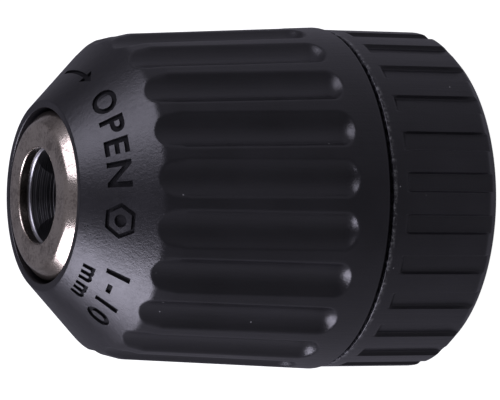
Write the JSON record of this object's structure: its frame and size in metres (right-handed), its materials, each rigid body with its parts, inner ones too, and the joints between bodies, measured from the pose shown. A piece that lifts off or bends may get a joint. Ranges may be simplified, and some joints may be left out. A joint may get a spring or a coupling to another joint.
{
  "type": "drill chuck",
  "caption": "Keyless drill chuck: a fluted black front sleeve with a cone and steel nose ring turns over a grooved rear sleeve to draw its steel jaws in or out.",
  "frame": {"origin": "centre of the flat rear face, at the spindle socket's mouth", "axes": "+Z along the chuck's axis towards the nose, where bits go in; +X towards the first jaw"},
  "size_m": [0.0376, 0.0376, 0.0462],
  "materials": {
    "black_plastic": "satin moulded nylon",
    "polished_steel": "pressed and polished",
    "machined_steel": "turned, lightly oiled",
    "hardened_steel": "hardened and ground",
    "plated_steel": "zinc plated",
    "bearing_steel": "ground and hardened",
    "cage_brass": "stamped"
  },
  "bodies": {
    "chuck_body": {"body": "machined_steel", "nose_ring": "polished_steel", "rear_sleeve": "black_plastic", "back_plate": "plated_steel", "rear_race": "bearing_steel"},
    "turning_sleeve": {"front_sleeve": "black_plastic", "nut_half_a": "machined_steel", "nut_half_b": "machined_steel", "nut_band": "plated_steel", "front_race": "bearing_steel"},
    "bearing": {"ball_cage": "cage_brass", "ball_01": "bearing_steel", "ball_02": "bearing_steel", "ball_03": "bearing_steel", "ball_04": "bearing_steel", "ball_05": "bearing_steel", "ball_06": "bearing_steel", "ball_07": "bearing_steel", "ball_08": "bearing_steel", "ball_09": "bearing_steel", "ball_10": "bearing_steel", "ball_11": "bearing_steel", "ball_12": "bearing_steel", "ball_13": "bearing_steel", "ball_14": "bearing_steel", "ball_15": "bearing_steel"},
    "first_jaw": {"jaw_1": "hardened_steel"},
    "second_jaw": {"jaw_2": "hardened_steel"},
    "third_jaw": {"jaw_3": "hardened_steel"}
  },
  "joints": [
    {"name": "sleeve_turn", "type": "hinge", "parent": "chuck_body", "child": "turning_sleeve", "pos_m": [0, 0, 0.03], "axis": [0, 0, 1], "range_deg": [-3522.47, 0]},
    {"name": "bearing_turn", "type": "hinge", "parent": "chuck_body", "child": "bearing", "pos_m": [0, 0, 0.0257], "axis": [0, 0, 1], "range_deg": [-1762.23, 0.5]},
    {"name": "jaw_1_slide", "type": "slide", "parent": "chuck_body", "child": "first_jaw", "axis": [-0.309, 0, 0.9511], "range_m": [0, 0.01554]},
    {"name": "jaw_2_slide", "type": "slide", "parent": "chuck_body", "child": "second_jaw", "axis": [0.1545, -0.2676, 0.9511], "range_m": [0, 0.01554]},
    {"name": "jaw_3_slide", "type": "slide", "parent": "chuck_body", "child": "third_jaw", "axis": [0.1545, 0.2676, 0.9511], "range_m": [0, 0.01554]}
  ],
  "couplings": [
    {"joint": "bearing_turn", "follows": "sleeve_turn", "ratio": 0.5},
    {"joint": "jaw_1_slide", "follows": "sleeve_turn", "m_per_rad": -0.00025266},
    {"joint": "jaw_2_slide", "follows": "sleeve_turn", "m_per_rad": -0.00025266},
    {"joint": "jaw_3_slide", "follows": "sleeve_turn", "m_per_rad": -0.00025266}
  ]
}
